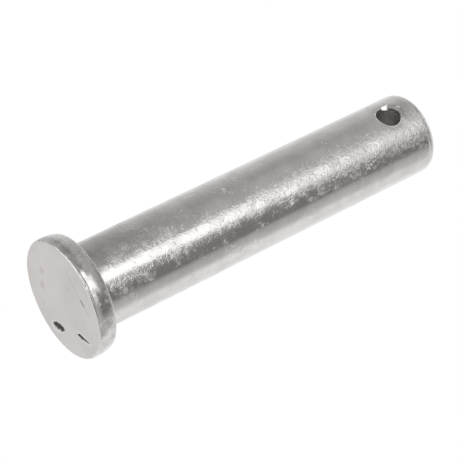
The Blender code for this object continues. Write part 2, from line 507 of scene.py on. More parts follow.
# %% Dish the mouths and break the hole's edge
DISH_DEPTH = 0.10 * MM
RIM_SHARE = 0.18
RIM_WIDTH = 0.08
EDGE_CHAMFER = 0.14 * MM
CHAMFER_SLOPE = 0.6
# Angles round the hole are in degrees, from Y towards the tip
FACET_FROM, FACET_TO = 131.0, 172.0
FACET_FADES = 14.0, 5.0
FACET_FACES = math.radians(171.0)
FACET_REACH = 2.58 * MM
FACET_SLOPE = 0.84
DENT_AT = (-0.70, 2.55)
DENT_WIDTH = 0.42
DENT_DEPTH = 0.16 * MM

dished = 0
for vert in drilled.vertices:
    away = from_hole(vert.co)
    from_axis = vert.co.xy.length
    if away < DISH_RADIUS and from_axis > SHANK_RADIUS - 0.01 * MM:
        inwards = min(1.0, (DISH_RADIUS - away) / (DISH_RADIUS - HOLE_RADIUS))
        slope = (1 - RIM_SHARE) * inwards + RIM_SHARE * (1 - math.exp(-inwards / RIM_WIDTH))
        lump = 1 + 0.3 * noise.noise(vert.co / MM * 0.8)
        from_wall = max(0.0, away - HOLE_RADIUS)
        broken = CHAMFER_SLOPE * max(0.0, EDGE_CHAMFER - from_wall)
        across, up = vert.co.y, vert.co.z - HOLE_HEIGHT
        around = math.degrees(math.atan2(up, across)) % 360
        reached = across * math.cos(FACET_FACES) + up * math.sin(FACET_FACES)
        facet = FACET_SLOPE * max(0.0, FACET_REACH - reached)
        facet *= smooth_step((around - FACET_FROM) / FACET_FADES[0])
        facet *= smooth_step((FACET_TO - around) / FACET_FADES[1])
        knock = math.hypot(across / MM - DENT_AT[0], up / MM - DENT_AT[1]) / DENT_WIDTH
        depth = DISH_DEPTH * slope * lump + max(broken, facet)
        depth += DENT_DEPTH * math.exp(-knock * knock)
        vert.co.x -= math.copysign(depth * from_axis / abs(vert.co.x), vert.co.x)
        dished += 1
drilled.shade_smooth()
drilled.set_sharp_from_angle(angle=math.radians(24))
print("points in the two dishes:", dished)
triangles = sum(len(face.vertices) - 2 for face in drilled.polygons)
print("pin triangles after drilling:", triangles)

# %% [markdown]
# ## Small tools for building materials
#
# A node tree is easier to read when each line makes one node. These helpers add a node,
# and either put a plain number on its socket or link another node to it. Most masks here
# are several effects that are multiplied, added or laid over each other, so those three
# take as many values as they are given.

# %% Helpers for node trees
def feed(tree, socket, value):
    """Links an output to a socket, or writes a plain value on it."""
    if isinstance(value, bpy.types.NodeSocket):
        tree.links.new(value, socket)
    else:
        socket.default_value = value


def maths(tree, operation, first, second=None, third=None):
    node = tree.nodes.new("ShaderNodeMath")
    node.operation = operation
    for index, value in enumerate((first, second, third)):
        if value is not None:
            feed(tree, node.inputs[index], value)
    return node.outputs[0]


def times(tree, value, *others):
    """Multiplies values, so that a mask shows only where the others do."""
    for other in others:
        value = maths(tree, "MULTIPLY", value, other)
    return value


def added(tree, value, *others):
    for other in others:
        value = maths(tree, "ADD", value, other)
    return value


def largest(tree, value, *others):
    """Lays masks over each other: the strongest one shows."""
    for other in others:
        value = maths(tree, "MAXIMUM", value, other)
    return value


def vector_maths(tree, operation, first, second=None, scale=None):
    node = tree.nodes.new("ShaderNodeVectorMath")
    node.operation = operation
    feed(tree, node.inputs[0], first)
    if second is not None:
        feed(tree, node.inputs[1], second)
    if scale is not None:
        feed(tree, node.inputs["Scale"], scale)
    return node.outputs["Value" if operation in ("DOT_PRODUCT", "LENGTH") else "Vector"]


def split(tree, place):
    """The X, Y and Z of a place."""
    node = tree.nodes.new("ShaderNodeSeparateXYZ")
    feed(tree, node.inputs[0], place)
    return node.outputs


print("helpers are ready for", len(pin.data.materials), "finishes")

# %% [markdown]
# ## Ramps, noise and places
#
# Nearly every mask is a ramp on some value: a height, a distance or a noise. A smooth step
# is used, because a straight ramp shows a line where it starts. The patterns are measured
# in millimetres from the model's own origin, so that they stay on the metal when the pin
# is moved.

# %% Helpers for ramps, noise and places
def ramped(tree, value, low, high, out_low=0.0, out_high=1.0, style="SMOOTHSTEP"):
    """Turns a stretch of values into another, held at both ends."""
    node = tree.nodes.new("ShaderNodeMapRange")
    node.interpolation_type = style
    for title, given in (("Value", value), ("From Min", low), ("From Max", high),
                         ("To Min", out_low), ("To Max", out_high)):
        feed(tree, node.inputs[title], given)
    return node.outputs["Result"]


def faded(tree, value, low, high):
    """Full up to the low value, gone from the high one on."""
    return ramped(tree, value, low, high, 1.0, 0.0)


def between(tree, share, low, high):
    """Turns a mask into a value between two others."""
    return ramped(tree, share, 0.0, 1.0, low, high)


def clouds(tree, place, scale, detail=2.0, rough=0.5, swirl=0.0):
    """Soft noise about 0.5. The scale is in lumps per millimetre."""
    node = tree.nodes.new("ShaderNodeTexNoise")
    node.normalize = True
    for title, given in (("Vector", place), ("Scale", scale), ("Detail", detail),
                         ("Roughness", rough), ("Distortion", swirl)):
        feed(tree, node.inputs[title], given)
    return node.outputs["Fac"]


def mixed(tree, share, first, second):
    """A mix of two colours."""
    node = tree.nodes.new("ShaderNodeMix")
    node.data_type = "RGBA"
    feed(tree, node.inputs["Factor"], share)
    feed(tree, node.inputs[6], first)
    feed(tree, node.inputs[7], second)
    return node.outputs[2]


def place_in_mm(tree):
    """Object coordinates, scaled so that one unit of a pattern is a millimetre."""
    coordinates = tree.nodes.new("ShaderNodeTexCoord")
    return vector_maths(tree, "SCALE", coordinates.outputs["Object"], scale=1 / MM)


def raise_skin(tree, shader, heights):
    """Turns heights in millimetres into a tilt of the shader's normal."""
    bump = tree.nodes.new("ShaderNodeBump")
    bump.inputs["Distance"].default_value = MM
    feed(tree, bump.inputs["Height"], heights)
    feed(tree, shader.inputs["Normal"], bump.outputs["Normal"])


print("one unit of a pattern, in metres:", MM)

# %% [markdown]
# ## Matt flecks
#
# Four effects turn up on more than one surface of the pin, so each is a group that is
# built once. The first is matt flecks, where the zinc has grown as tiny crystals or has
# been scuffed. They come in patches, so the group gives a fine mask and a coarse one.

# %% Build the group of flecks
VECTOR, FLOAT = "NodeSocketVector", "NodeSocketFloat"


def start_group(name, inputs, outputs):
    """A new node group, with the sockets of its two ends."""
    tree = bpy.data.node_groups.new(name, "ShaderNodeTree")
    for title, kind, value in inputs:
        socket = tree.interface.new_socket(name=title, in_out="INPUT", socket_type=kind)
        if value is not None:
            socket.default_value = value
    for title in outputs:
        tree.interface.new_socket(name=title, in_out="OUTPUT", socket_type=FLOAT)
    entry = tree.nodes.new("NodeGroupInput").outputs
    leave = tree.nodes.new("NodeGroupOutput").inputs
    return tree, entry, leave


def use_group(tree, group, **values):
    """Places a group in a material with its own values, spaces written as underscores."""
    node = tree.nodes.new("ShaderNodeGroup")
    node.node_tree = group
    for title, value in values.items():
        feed(tree, node.inputs[title.replace("_", " ")], value)
    return node.outputs


flecks, given, out = start_group(
    "matt flecks",
    (("Place", VECTOR, None), ("Size", FLOAT, 3.0), ("Level", FLOAT, 0.55),
     ("Softness", FLOAT, 0.08), ("Patch size", FLOAT, 0.25), ("Patch level", FLOAT, 0.5),
     ("Patch softness", FLOAT, 0.12)),
    ("Mask", "Patch"),
)
fine = clouds(flecks, given["Place"], given["Size"], detail=1.6, rough=0.55, swirl=0.9)
coarse = clouds(flecks, given["Place"], given["Patch size"], detail=2.5, rough=0.6)
fine_top = added(flecks, given["Level"], given["Softness"])
coarse_top = added(flecks, given["Patch level"], given["Patch softness"])
feed(flecks, out["Mask"], ramped(flecks, fine, given["Level"], fine_top))
feed(flecks, out["Patch"], ramped(flecks, coarse, given["Patch level"], coarse_top))
print("nodes in the group of flecks:", len(flecks.nodes))

# %% [markdown]
# ## A mark along a line
#
# A scratch, a stain or a rubbed bit has a definite place. The group takes a start and an
# end in millimetres, measures how far a point is from the line between them, and fades
# the mark out past its half width. A taper makes it thinner towards its end.

# %% Build the group for marks
mark, given, out = start_group(
    "mark along a line",
    (("Place", VECTOR, None), ("Start", VECTOR, None), ("End", VECTOR, None),
     ("Half width", FLOAT, 0.1), ("Edge", FLOAT, 0.1), ("Taper", FLOAT, 0.0)),
    ("Mask",),
)
run = vector_maths(mark, "SUBTRACT", given["End"], given["Start"])
reach = vector_maths(mark, "SUBTRACT", given["Place"], given["Start"])
square = vector_maths(mark, "DOT_PRODUCT", run, run)
share = maths(mark, "DIVIDE", vector_maths(mark, "DOT_PRODUCT", reach, run), square)
held = maths(mark, "MINIMUM", largest(mark, share, 0.0), 1.0)
across = vector_maths(mark, "SUBTRACT", reach, vector_maths(mark, "SCALE", run, scale=held))
distance = vector_maths(mark, "LENGTH", across)
thinner = maths(mark, "SUBTRACT", 1.0, times(mark, given["Taper"], held))
half = times(mark, given["Half width"], thinner)
feed(mark, out["Mask"], faded(mark, distance, half, added(mark, half, given["Edge"])))


def marked(tree, place, start, end, half_width, edge, taper=0.0):
    """The mask of one mark, with its two ends in mm."""
    return use_group(tree, mark, Place=place, Start=start, End=end,
                     Half_width=half_width, Edge=edge, Taper=taper)["Mask"]


print("nodes in the group for marks:", len(mark.nodes))

# %% [markdown]
# ## Drawn lines and dents
#
# Bar is pulled through a die, which leaves faint lines along it. Noise that is squeezed
# along the pin's axis looks the same. The last group is a lumpy skin at two sizes, which
# breaks up the edges of reflections as the dents of a tumbled part do.

# %% Build the groups of drawn lines and dents
lines, given, out = start_group(
    "drawn lines",
    (("Place", VECTOR, None), ("Per mm", FLOAT, 5.0), ("Stretch", FLOAT, 0.03)),
    ("Height",),
)
squeezed = lines.nodes.new("ShaderNodeCombineXYZ")
for title, value in (("X", 1.0), ("Y", 1.0), ("Z", given["Stretch"])):
    feed(lines, squeezed.inputs[title], value)
long_place = vector_maths(lines, "MULTIPLY", given["Place"], squeezed.outputs[0])
feed(lines, out["Height"], clouds(lines, long_place, given["Per mm"], 2.0, 0.55))

dents, given, out = start_group(
    "dents",
    (("Place", VECTOR, None), ("Small depth", FLOAT, 0.002), ("Large depth", FLOAT, 0.01),
     ("Small size", FLOAT, 2.4), ("Large size", FLOAT, 0.5)),
    ("Height",),
)
small = clouds(dents, given["Place"], given["Small size"], 2.0, 0.55)
large = clouds(dents, given["Place"], given["Large size"], 1.0, 0.5)
feed(dents, out["Height"], added(dents, times(dents, small, given["Small depth"]),
                                 times(dents, large, given["Large depth"])))
print("shared groups:", [group.name for group in bpy.data.node_groups])

# %% [markdown]
# ## Bright zinc
#
# Zinc plate on plain steel is a pale, slightly warm grey metal. On this pin it is smooth
# enough to show blurred reflections, but with patches of frosty flecks, and with small
# dents from barrel plating, where hundreds of pins tumble on each other. An image of
# worn metal could be wrapped round the pin, but a picture has a seam and one fixed
# resolution. Noise in space needs neither, and each effect can be tuned on its own.

# %% Lay out the zinc's patterns
tree = bright_zinc.node_tree
shader = tree.nodes["Principled BSDF"]
place = place_in_mm(tree)
axes = split(tree, place)
height_up = axes["Z"]
on_head = faded(tree, height_up, 3.2, 3.5)
to_tip = ramped(tree, height_up, 57.0, 66.0)

frost = use_group(tree, flecks, Place=place, Size=1.5, Level=0.44, Softness=0.17,
                  Patch_size=0.17, Patch_level=0.47, Patch_softness=0.14)
drawn = use_group(tree, lines, Place=place, Per_mm=3.0, Stretch=0.02)["Height"]
dashes = use_group(tree, lines, Place=place, Per_mm=1.7, Stretch=0.26)["Height"]
skin = use_group(tree, dents, Place=place, Small_depth=0.004, Large_depth=0.020,
                 Small_size=1.3, Large_size=0.35)["Height"]
print("zinc nodes, patterns:", len(tree.nodes))

# %% [markdown]
# ## Where the zinc is worn
#
# Handling has dulled one side of the shank, and the more so the nearer to the tip. Some
# places are duller still, and each is a mark at the place that the photograph shows. Noise
# is added to the mask before its ramp, which gives the worn area a ragged border. A few
# bits in it are still polished, and they catch the window.

# %% Mark the worn and the polished places
handled = marked(tree, place, (5.9, 3.8, 4.0), (5.9, 3.8, 70.0), 1.4, 2.6)
worn = times(tree, handled, ramped(tree, height_up, 10.0, 58.0, style="LINEAR"))
worn = largest(tree, worn, times(tree, frost["Patch"], 0.50))
DULL_PLACES = (
    # Start and end in mm, half width, edge and strength
    ((5.7, 4.0, 58.0), (6.1, 3.4, 68.5), 1.3, 1.6, 0.95),
    ((4.1, 5.7, 6.0), (3.9, 5.8, 12.0), 0.5, 1.3, 0.60),
    ((6.9, 1.2, 8.0), (6.8, 1.6, 21.0), 0.3, 1.5, 0.50),
    ((6.5, 2.5, 43.5), (6.6, 2.3, 46.5), 0.5, 0.8, 1.00),
    ((6.6, 2.3, 54.5), (6.6, 2.2, 60.0), 0.6, 0.9, 1.00),
    ((3.9, 5.8, 44.0), (4.0, 5.7, 58.0), 0.3, 0.9, 0.65),
    ((7.6, 6.4, 0.9), (2.8, 9.5, 0.8), 0.15, 0.9, 0.90),
    ((9.7, -3.0, 0.6), (9.9, 0.8, 0.7), 0.1, 0.9, 0.60),
    ((7.2, -6.5, 0.2), (8.2, -5.3, 0.2), 0.2, 0.3, 1.60),
)
for *mark_shape, strength in DULL_PLACES:
    worn = largest(tree, worn, times(tree, marked(tree, place, *mark_shape), strength))
ragged = clouds(tree, place, 0.55, 3.0, 0.6, swirl=0.8)
ragged = added(tree, worn, maths(tree, "MULTIPLY_ADD", ragged, 2.2, -1.10))
scuffed = times(tree, ramped(tree, ragged, 0.20, 0.80), ramped(tree, worn, 0.0, 0.2))

POLISHED = (
    # Start and end in mm, half width
    ((5.48, 4.36, 40.2), (5.62, 4.17, 41.6), 0.35),
    ((6.05, 3.52, 57.6), (5.95, 3.69, 59.2), 0.40),
    ((6.21, 3.23, 46.6), (6.03, 3.55, 48.6), 0.35),
    ((5.98, 3.64, 52.0), (5.86, 3.83, 53.0), 0.30),
)
POLISHED_EDGE = 0.5
polished = largest(tree, 0.0, *(marked(tree, place, *mark_shape, POLISHED_EDGE)
                                for mark_shape in POLISHED))
broken_up = ramped(tree, clouds(tree, place, 1.5, 1.5, 0.5, swirl=0.6), 0.36, 0.50)
dulled = maths(tree, "SUBTRACT", 1.0, times(tree, polished, broken_up))
scuffed = times(tree, scuffed, dulled)
print("dull places:", len(DULL_PLACES), "polished bits:", len(POLISHED))

# %% [markdown]
# ## Frost and chalky specks
#
# The worn zinc is frosted. Where the shank faces the window, the frost is drawn out into
# short dashes. Chalky specks, the first white bloom of zinc, stand in clusters on the same
# places. Painted dots would all look alike, but a fine noise times a coarse one comes in
# clusters of uneven size.

# %% Frost the worn places and scatter the specks
least = between(tree, to_tip, 0.15, 0.35)
frosted = times(tree, between(tree, frost["Mask"], least, 1.0), scuffed)
brushed = marked(tree, place, (6.9, 1.2, 6.0), (6.9, 1.2, 62.0), 0.8, 2.0)
dashed = times(tree, ramped(tree, dashes, 0.55, 0.68), brushed, 0.45)
frosted = largest(tree, frosted, dashed)
clusters = ramped(tree, clouds(tree, place, 0.45, 2.0, 0.6, swirl=0.5), 0.48, 0.59)
specks = ramped(tree, clouds(tree, place, 1.6, 2.0, 0.5, swirl=0.4), 0.56, 0.66)
specks = times(tree, specks, clusters, ramped(tree, ragged, 0.0, 0.6),
               between(tree, to_tip, 1.0, 0.6))
print("zinc nodes, with frost and specks:", len(tree.nodes))

# %% [markdown]
# ## A scratch and two painted highlights
#
# Three thin lines are pale and matt. A short scratch on the shank is cut down to pale
# metal. The other two are painted highlights: a line along part of the hole's edge, and
# one round the corner where the tip's round begins. These two follow the shape, so their
# masks come from the hole's own radius and the tip's own height.

# %% Mask the hole edge's painted highlight, the scratch and the tip corner's painted highlight
from_hole_line = tree.nodes.new("ShaderNodeCombineXYZ")
feed(tree, from_hole_line.inputs["Y"], axes["Y"])
feed(tree, from_hole_line.inputs["Z"], maths(tree, "SUBTRACT", height_up, HOLE_HEIGHT / MM))
from_hole_line = vector_maths(tree, "LENGTH", from_hole_line.outputs[0])
# Painted highlight: a pale line along the lower part of the hole's edge
hole_edge_highlight = faded(tree, from_hole_line, HOLE_RADIUS / MM + 0.06, HOLE_RADIUS / MM + 0.32)
low_side = added(tree, axes["Y"], times(tree, height_up, -0.5))
hole_edge_highlight = times(tree, hole_edge_highlight, ramped(tree, low_side, -32.8, -31.6))

scratch = marked(tree, place, (6.25, -3.16, 24.7), (6.40, -2.84, 26.8), 0.07, 0.13, 0.6)

corner = (TOTAL_LENGTH - TIP_ROUND_LENGTH) / MM
# Painted highlight: a pale line in patches round the corner where the tip's round begins
tip_corner_highlight = times(tree, ramped(tree, height_up, corner - 0.30, corner - 0.08),
                 faded(tree, height_up, corner, corner + 0.20),
                 between(tree, frost["Patch"], 0.3, 0.9))
print("height of the tip's corner in mm:", round(corner, 2))

# %% [markdown]
# ## The zinc's colour
#
# The plate wanders between two close greys. The head's side is more stained than the
# shank, because the die left scale there that the plating covered unevenly. Chalk is no
# metal: a paler colour alone would still mirror the dark strips of the studio, so the
# Metallic value falls where the chalk is. It falls on the scratch and on the two painted
# highlights too, so that they stay pale whatever they face.

# %% Colour the zinc
PALE_ZINC = (0.780, 0.765, 0.750, 1.0)
GREY_ZINC = (0.690, 0.677, 0.664, 1.0)
WORN_AND_HIGHLIGHT_ZINC = (0.880, 0.872, 0.860, 1.0)
STAIN = (0.22, 0.215, 0.205, 1.0)

tone_share = ramped(tree, clouds(tree, place, 0.30, 3.0, 0.6), 0.35, 0.65)
colour = mixed(tree, tone_share, GREY_ZINC, PALE_ZINC)
scale_left = ramped(tree, clouds(tree, place, 1.1, 2.5, 0.6, swirl=0.8), 0.44, 0.60)
colour = mixed(tree, times(tree, scale_left, on_head, 0.22), colour, STAIN)
speck_strength = ramped(tree, height_up, 22.0, 45.0, 0.42, 0.75)
# Chalky specks and the scratch are pale marks; the hole's edge and the tip's corner are painted
# highlights
pale_marks_and_painted_highlights = largest(tree, times(tree, specks, speck_strength), times(tree, scratch, 0.85),
                 times(tree, hole_edge_highlight, 0.5), times(tree, tip_corner_highlight, 0.55))
bright_spots = largest(tree, times(tree, frosted, 0.5), tip_corner_highlight, pale_marks_and_painted_highlights, hole_edge_highlight)
# Paler where frost, chalk and the scratch are, and where the highlights are painted
colour = mixed(tree, bright_spots, colour, WORN_AND_HIGHLIGHT_ZINC)
feed(tree, shader.inputs["Base Color"], colour)
feed(tree, shader.inputs["Metallic"], maths(tree, "SUBTRACT", 1.0, pale_marks_and_painted_highlights))
print("zinc nodes, with colour:", len(tree.nodes))

# %% [markdown]
# ## The zinc's gloss
#
# Smooth plate gives crisp reflections, and frost blurs them. What is spread over the
# surface adds up. The scratch and the two painted highlights are laid over that sum as a
# largest value instead, so that each has the same roughness whatever lies under it.

# %% Set the zinc's roughness
SMOOTHEST = 0.115
roughness = added(tree, SMOOTHEST, times(tree, frosted, 0.25), times(tree, drawn, 0.05),
                  times(tree, scuffed, 0.06))
# The scratch and the painted highlights set their own roughness
roughness = largest(tree, roughness, times(tree, tip_corner_highlight, 0.5), times(tree, scratch, 0.65),
                    times(tree, hole_edge_highlight, 0.55))
feed(tree, shader.inputs["Roughness"], roughness)
print("least roughness of the zinc:", SMOOTHEST)

# %% [markdown]
# ## The zinc's skin
#
# All that is finer than the mesh is a height in millimetres: the dents of the barrel, the
# drawn lines, the frost, and the grain of the worn side, which is fine along the shank and
# broader near the tip. Pits count down. The heights simply add up, and one Bump node tilts
# the normal by their sum. Real displacement would take millions of points.

# %% Raise the zinc's skin
grain = mixed(tree, to_tip, clouds(tree, place, 1.9, 1.3, 0.5, swirl=0.8),
              clouds(tree, place, 1.05, 1.8, 0.5, swirl=0.8))
grain_depth = times(tree, handled, ramped(tree, height_up, 3.5, 20.0, 0.45, 1.0), 0.018)
grain_depth = added(tree, grain_depth, between(tree, to_tip, 0.006, 0.012),
                    times(tree, scuffed, 0.010))
grain_depth = times(tree, grain_depth, between(tree, to_tip, 1.0, 2.1),
                    between(tree, dulled, 0.25, 1.0))
frost_height = times(tree, frosted, between(tree, to_tip, 0.005, 0.002))
raise_skin(tree, shader, added(
    tree, skin, times(tree, grain, grain_depth), times(tree, drawn, 0.003), frost_height,
    times(tree, specks, -0.015), times(tree, scratch, -0.05),
))
print("bright zinc nodes:", len(tree.nodes))

# %% [markdown]
# ## The pressed face
#
# The face that the die pressed is matt and even. Its colour changes only in broad, faint
# zones, with a few weak brown stains and a fine arc that ends in a scratch. Each of these
# is a mark along a line, at the place where the photograph shows it.

# %% Colour the pressed face
FACE_PALE = (0.685, 0.660, 0.650, 1.0)
FACE_GREY = (0.635, 0.612, 0.601, 1.0)
FACE_BROWN = (0.530, 0.485, 0.445, 1.0)
FACE_DARK = (0.30, 0.295, 0.285, 1.0)

tree = pressed_face.node_tree
shader = tree.nodes["Principled BSDF"]
shader.inputs["Metallic"].default_value = 1.0
place = place_in_mm(tree)
zones = ramped(tree, clouds(tree, place, 0.10, 2.0, 0.5), 0.38, 0.62)
colour = mixed(tree, zones, FACE_GREY, FACE_PALE)
STAINS = (
    # X and Y of start and end in mm, half width, edge and strength
    ((1.20, -5.76), (1.50, -5.70), 0.15, 0.75, 0.50),
    ((-1.80, -5.32), (-1.30, -5.36), 0.15, 0.75, 0.55),
    ((-5.04, -4.66), (-4.90, -4.60), 0.10, 0.60, 0.30),
    ((3.90, 1.50), (3.30, 0.90), 0.10, 0.70, 0.30),
)
for start, end, half_width, edge, strength in STAINS:
    stain = marked(tree, place, (*start, 0.0), (*end, 0.0), half_width, edge)
    colour = mixed(tree, times(tree, stain, strength), colour, FACE_BROWN)
ARC = (
    # X and Y in mm of each point, half width and strength from there to the next point
    (6.96, 0.28, 0.08, 0.16), (6.28, 1.30, 0.08, 0.22), (5.40, 2.95, 0.06, 0.28),
    (4.40, 4.60, 0.15, 0.90), (3.98, 5.40, 0.05, 0.40), (3.19, 6.67, 0.0, 0.0),
)
ARC_EDGE = 0.14
scored = 0.0
for (*start, half_width, strength), (*end, _, _) in zip(ARC, ARC[1:]):
    line = marked(tree, place, (*start, 0.0), (*end, 0.0), half_width, ARC_EDGE)
    scored = largest(tree, scored, times(tree, line, strength))
colour = mixed(tree, scored, colour, FACE_DARK)
print("stains:", len(STAINS), "pieces of the arc:", len(ARC) - 1)

# %% [markdown]
# ## The folds' colour
#
# The folds' lips are painted paler. Inside, a fold is painted darker with depth: this is
# painted shade of the crack, along with the darker bare steel at its bottom, where the
# plating doesn't reach. Its depth picks it out: a point that lies above the face's plane
# is inside a fold, so no mask has to be drawn round it.

# %% Lighten the lips and paint shade into the folds
FACE_LIP = (0.780, 0.760, 0.750, 1.0)
FOLD_SHADE = (0.085, 0.082, 0.078, 1.0)
LIP_EDGE, LIP_TAPER, LIP_STRENGTH = 0.6, 0.4, 0.6
LIPS = (
    # Start and end in mm, half width
    ((-7.45, -1.30, 0.0), (-6.50, 0.20, 0.0), 0.90),
    ((-3.36, 4.98, 0.0), (-2.62, 7.55, 0.0), 0.45),
)
for lip_shape in LIPS:
    # The lips are painted paler
    lip = marked(tree, place, *lip_shape, LIP_EDGE, LIP_TAPER)
    colour = mixed(tree, times(tree, lip, LIP_STRENGTH), colour, FACE_LIP)
depth_in = split(tree, place)["Z"]
# Painted shade inside the folds, darker with depth, with the darker bare steel at their bottoms
painted_fold_shade = mixed(tree, ramped(tree, depth_in, 0.10, 0.30), FACE_DARK, FOLD_SHADE)
colour = mixed(tree, ramped(tree, depth_in, 0.03, 0.16), colour, painted_fold_shade)
feed(tree, shader.inputs["Base Color"], colour)
print("pressed face nodes, with colour:", len(tree.nodes))

# %% [markdown]
# ## The face's gloss and skin
#
# The die's surface was even, so the face's roughness hardly changes, and its dents are
# shallower than the shank's. The arc stands up a little from the face. The same groups
# as on the shank make all this, with lower values, so both look like one metal.

# %% Set the face's roughness and skin
frost = use_group(tree, flecks, Place=place, Size=3.0, Level=0.50, Softness=0.12,
                  Patch_size=0.15, Patch_level=0.42, Patch_softness=0.2)
matt = times(tree, frost["Mask"], frost["Patch"], 0.10)
feed(tree, shader.inputs["Roughness"], added(tree, 0.44, matt))
skin = use_group(tree, dents, Place=place, Small_depth=0.0020, Large_depth=0.010,
                 Small_size=3.0, Large_size=0.35)["Height"]
raise_skin(tree, shader, added(tree, skin, times(tree, scored, 0.02)))
print("pressed face nodes:", len(tree.nodes))

# %% [markdown]
# ## The drilled hole
#
# Inside a narrow hole the plating current hardly reaches, so the wall stays thin, rough
# and darker, with the fine rings of the drill. Part of that darker grey is painted shade
# of the deep bore. Close to the mouths the plating is better. Distance from the pin's axis,
# along the hole, tells the two apart.

# %% Make the drilled hole
# The bore's grey holds both thin plating and painted shade of the deep hole
BORE_GREY_AND_SHADE = (0.62, 0.612, 0.598, 1.0)

tree = drilled_hole.node_tree
shader = tree.nodes["Principled BSDF"]
shader.inputs["Metallic"].default_value = 1.0
place = place_in_mm(tree)
along_hole = split(tree, place)["X"]
inside = faded(tree, maths(tree, "ABSOLUTE", along_hole), 6.1, 6.5)
tone_share = ramped(tree, clouds(tree, place, 0.8, 2.0, 0.5), 0.35, 0.65)
colour = mixed(tree, inside, mixed(tree, tone_share, GREY_ZINC, PALE_ZINC), BORE_GREY_AND_SHADE)
feed(tree, shader.inputs["Base Color"], colour)
feed(tree, shader.inputs["Roughness"], between(tree, inside, 0.24, 0.48))
rings = tree.nodes.new("ShaderNodeCombineXYZ")
feed(tree, rings.inputs["X"], along_hole)
ring_height = times(tree, clouds(tree, rings.outputs[0], 6.0, 1.0, 0.5), 0.008)
skin = use_group(tree, dents, Place=place, Small_depth=0.004, Large_depth=0.010,
                 Small_size=3.0, Large_size=0.9)["Height"]
raise_skin(tree, shader, added(tree, skin, ring_height))
print("drilled hole nodes:", len(tree.nodes))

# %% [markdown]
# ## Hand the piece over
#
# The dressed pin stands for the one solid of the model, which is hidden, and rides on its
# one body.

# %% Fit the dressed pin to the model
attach(pin, "root")
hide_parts("blade_pin")
print("pin faces in all:", len(pin.data.polygons))

# %% [markdown]
# ## A tent of paper
#
# Bright metal has hardly any colour of its own: it shows what stands round it. In a
# studio, such a pin is shot inside a tent of pale paper, with grey and dark strips hung
# in it to give the shank its shape, and a bright window for the long highlight. It could
# be a row of separate cards, but on one ring of paper that glows at plain levels, the
# strips' places and levels stand in one short list.
#
# Only reflections see the tent. The camera sees the white world behind it.

# %% Bend the paper into a tent
TENT_RADIUS = 2.0
TENT_REACH = 70.0

tent = bmesh.new()
low_rim = tent.verts.new(direction(0.0, math.radians(-TENT_REACH)) * TENT_RADIUS)
bmesh.ops.spin(
    tent, geom=[low_rim], cent=(0, 0, 0), axis=(0, -1, 0),
    angle=math.radians(2 * TENT_REACH), steps=40,
)
bmesh.ops.spin(
    tent, geom=tent.verts[:] + tent.edges[:], cent=(0, 0, 0), axis=(0, 0, 1),
    angle=2 * math.pi, steps=96, use_merge=True,
)
bmesh.ops.remove_doubles(tent, verts=tent.verts[:], dist=MM)
paper_tent = finished("paper_tent", tent)
paper_tent.location.z = TOTAL_LENGTH / 2
paper_tent.visible_camera = False
paper_tent.visible_diffuse = False
paper_tent.visible_shadow = False
print("tent faces:", len(paper_tent.data.polygons))

# %% [markdown]
# ## Where a reflection looks
#
# A place on the paper is told by two angles: its bearing, counted from about the camera's
# own, and its height angle. Every strip and window is a ramp on one of them, or both.
# Most of them use the height angle without its sign, so that the pin is lit alike seen
# from below, as in the photograph, and from above.

# %% Measure the two angles on the paper
STRIPS_ZERO = 34.21

paper = bpy.data.materials.new("glowing_paper")
paper.use_nodes = True
paper.cycles.emission_sampling = "NONE"
tree = paper.node_tree
tree.nodes.clear()
paper_place = tree.nodes.new("ShaderNodeTexCoord").outputs["Object"]
axes = split(tree, paper_place)
bearing = times(tree, maths(tree, "ARCTAN2", axes["Y"], axes["X"]), 180 / math.pi)
from_camera = maths(tree, "SUBTRACT", bearing, STRIPS_ZERO)
wrapped = maths(tree, "WRAP", from_camera, 180.0, -180.0)
flat = vector_maths(tree, "MULTIPLY", paper_place, (1.0, 1.0, 0.0))
flat = vector_maths(tree, "LENGTH", flat)
height_angle = times(tree, maths(tree, "ARCTAN2", axes["Z"], flat), 180 / math.pi)
either_way = maths(tree, "ABSOLUTE", height_angle)
print("the strips are counted from a bearing of", STRIPS_ZERO, "degrees")

# %% [markdown]
# ## The strips
#
# The greys across the shank in the photograph, from one edge to the other, say how bright
# the paper is at each bearing. A colour ramp holds that list, because its stops can be
# moved one by one. The tip's round and the head's back edge look higher up, so they have
# a list of their own.

# %% Hang the strips
STRIPS = (
    # Bearing in degrees and brightness
    (-180, 0.89), (-150, 0.86), (-140, 0.77), (-128, 0.66), (-110, 0.58), (-92, 0.46),
    (-76, 0.41), (-60, 0.47), (-34, 0.52), (-26, 0.52), (8, 0.46), (17, 0.32), (30, 0.245),
    (44, 0.22), (58, 0.22), (63, 0.40), (70, 0.48), (87, 0.59), (92, 0.72), (98, 0.89),
    (108, 0.95), (120, 0.91), (135, 0.88), (152, 0.93), (180, 0.92),
)
TOP_STRIPS = (
    (-180, 0.90), (-110, 0.60), (-60, 0.36), (40, 0.30), (66, 0.55), (100, 0.90), (180, 0.95),
)

strip_at = ramped(tree, wrapped, -180.0, 180.0, style="LINEAR")


def grey(level):
    return (level, level, level, 1.0)


def strip_levels(plan):
    """Brightness by bearing, from a list of bearings and levels."""
    levels = tree.nodes.new("ShaderNodeValToRGB")
    feed(tree, levels.inputs[0], strip_at)
    stops = levels.color_ramp.elements
    for index, (at, level) in enumerate(plan):
        share = (at + 180) / 360
        stop = stops[index] if index < 2 else stops.new(share)
        stop.position = share
        stop.color = grey(level)
    return levels.outputs["Color"]


high_up = ramped(tree, either_way, 44.0, 56.0)
backing = mixed(tree, high_up, strip_levels(STRIPS), strip_levels(TOP_STRIPS))
print("paper strips:", len(STRIPS), "and higher up:", len(TOP_STRIPS))

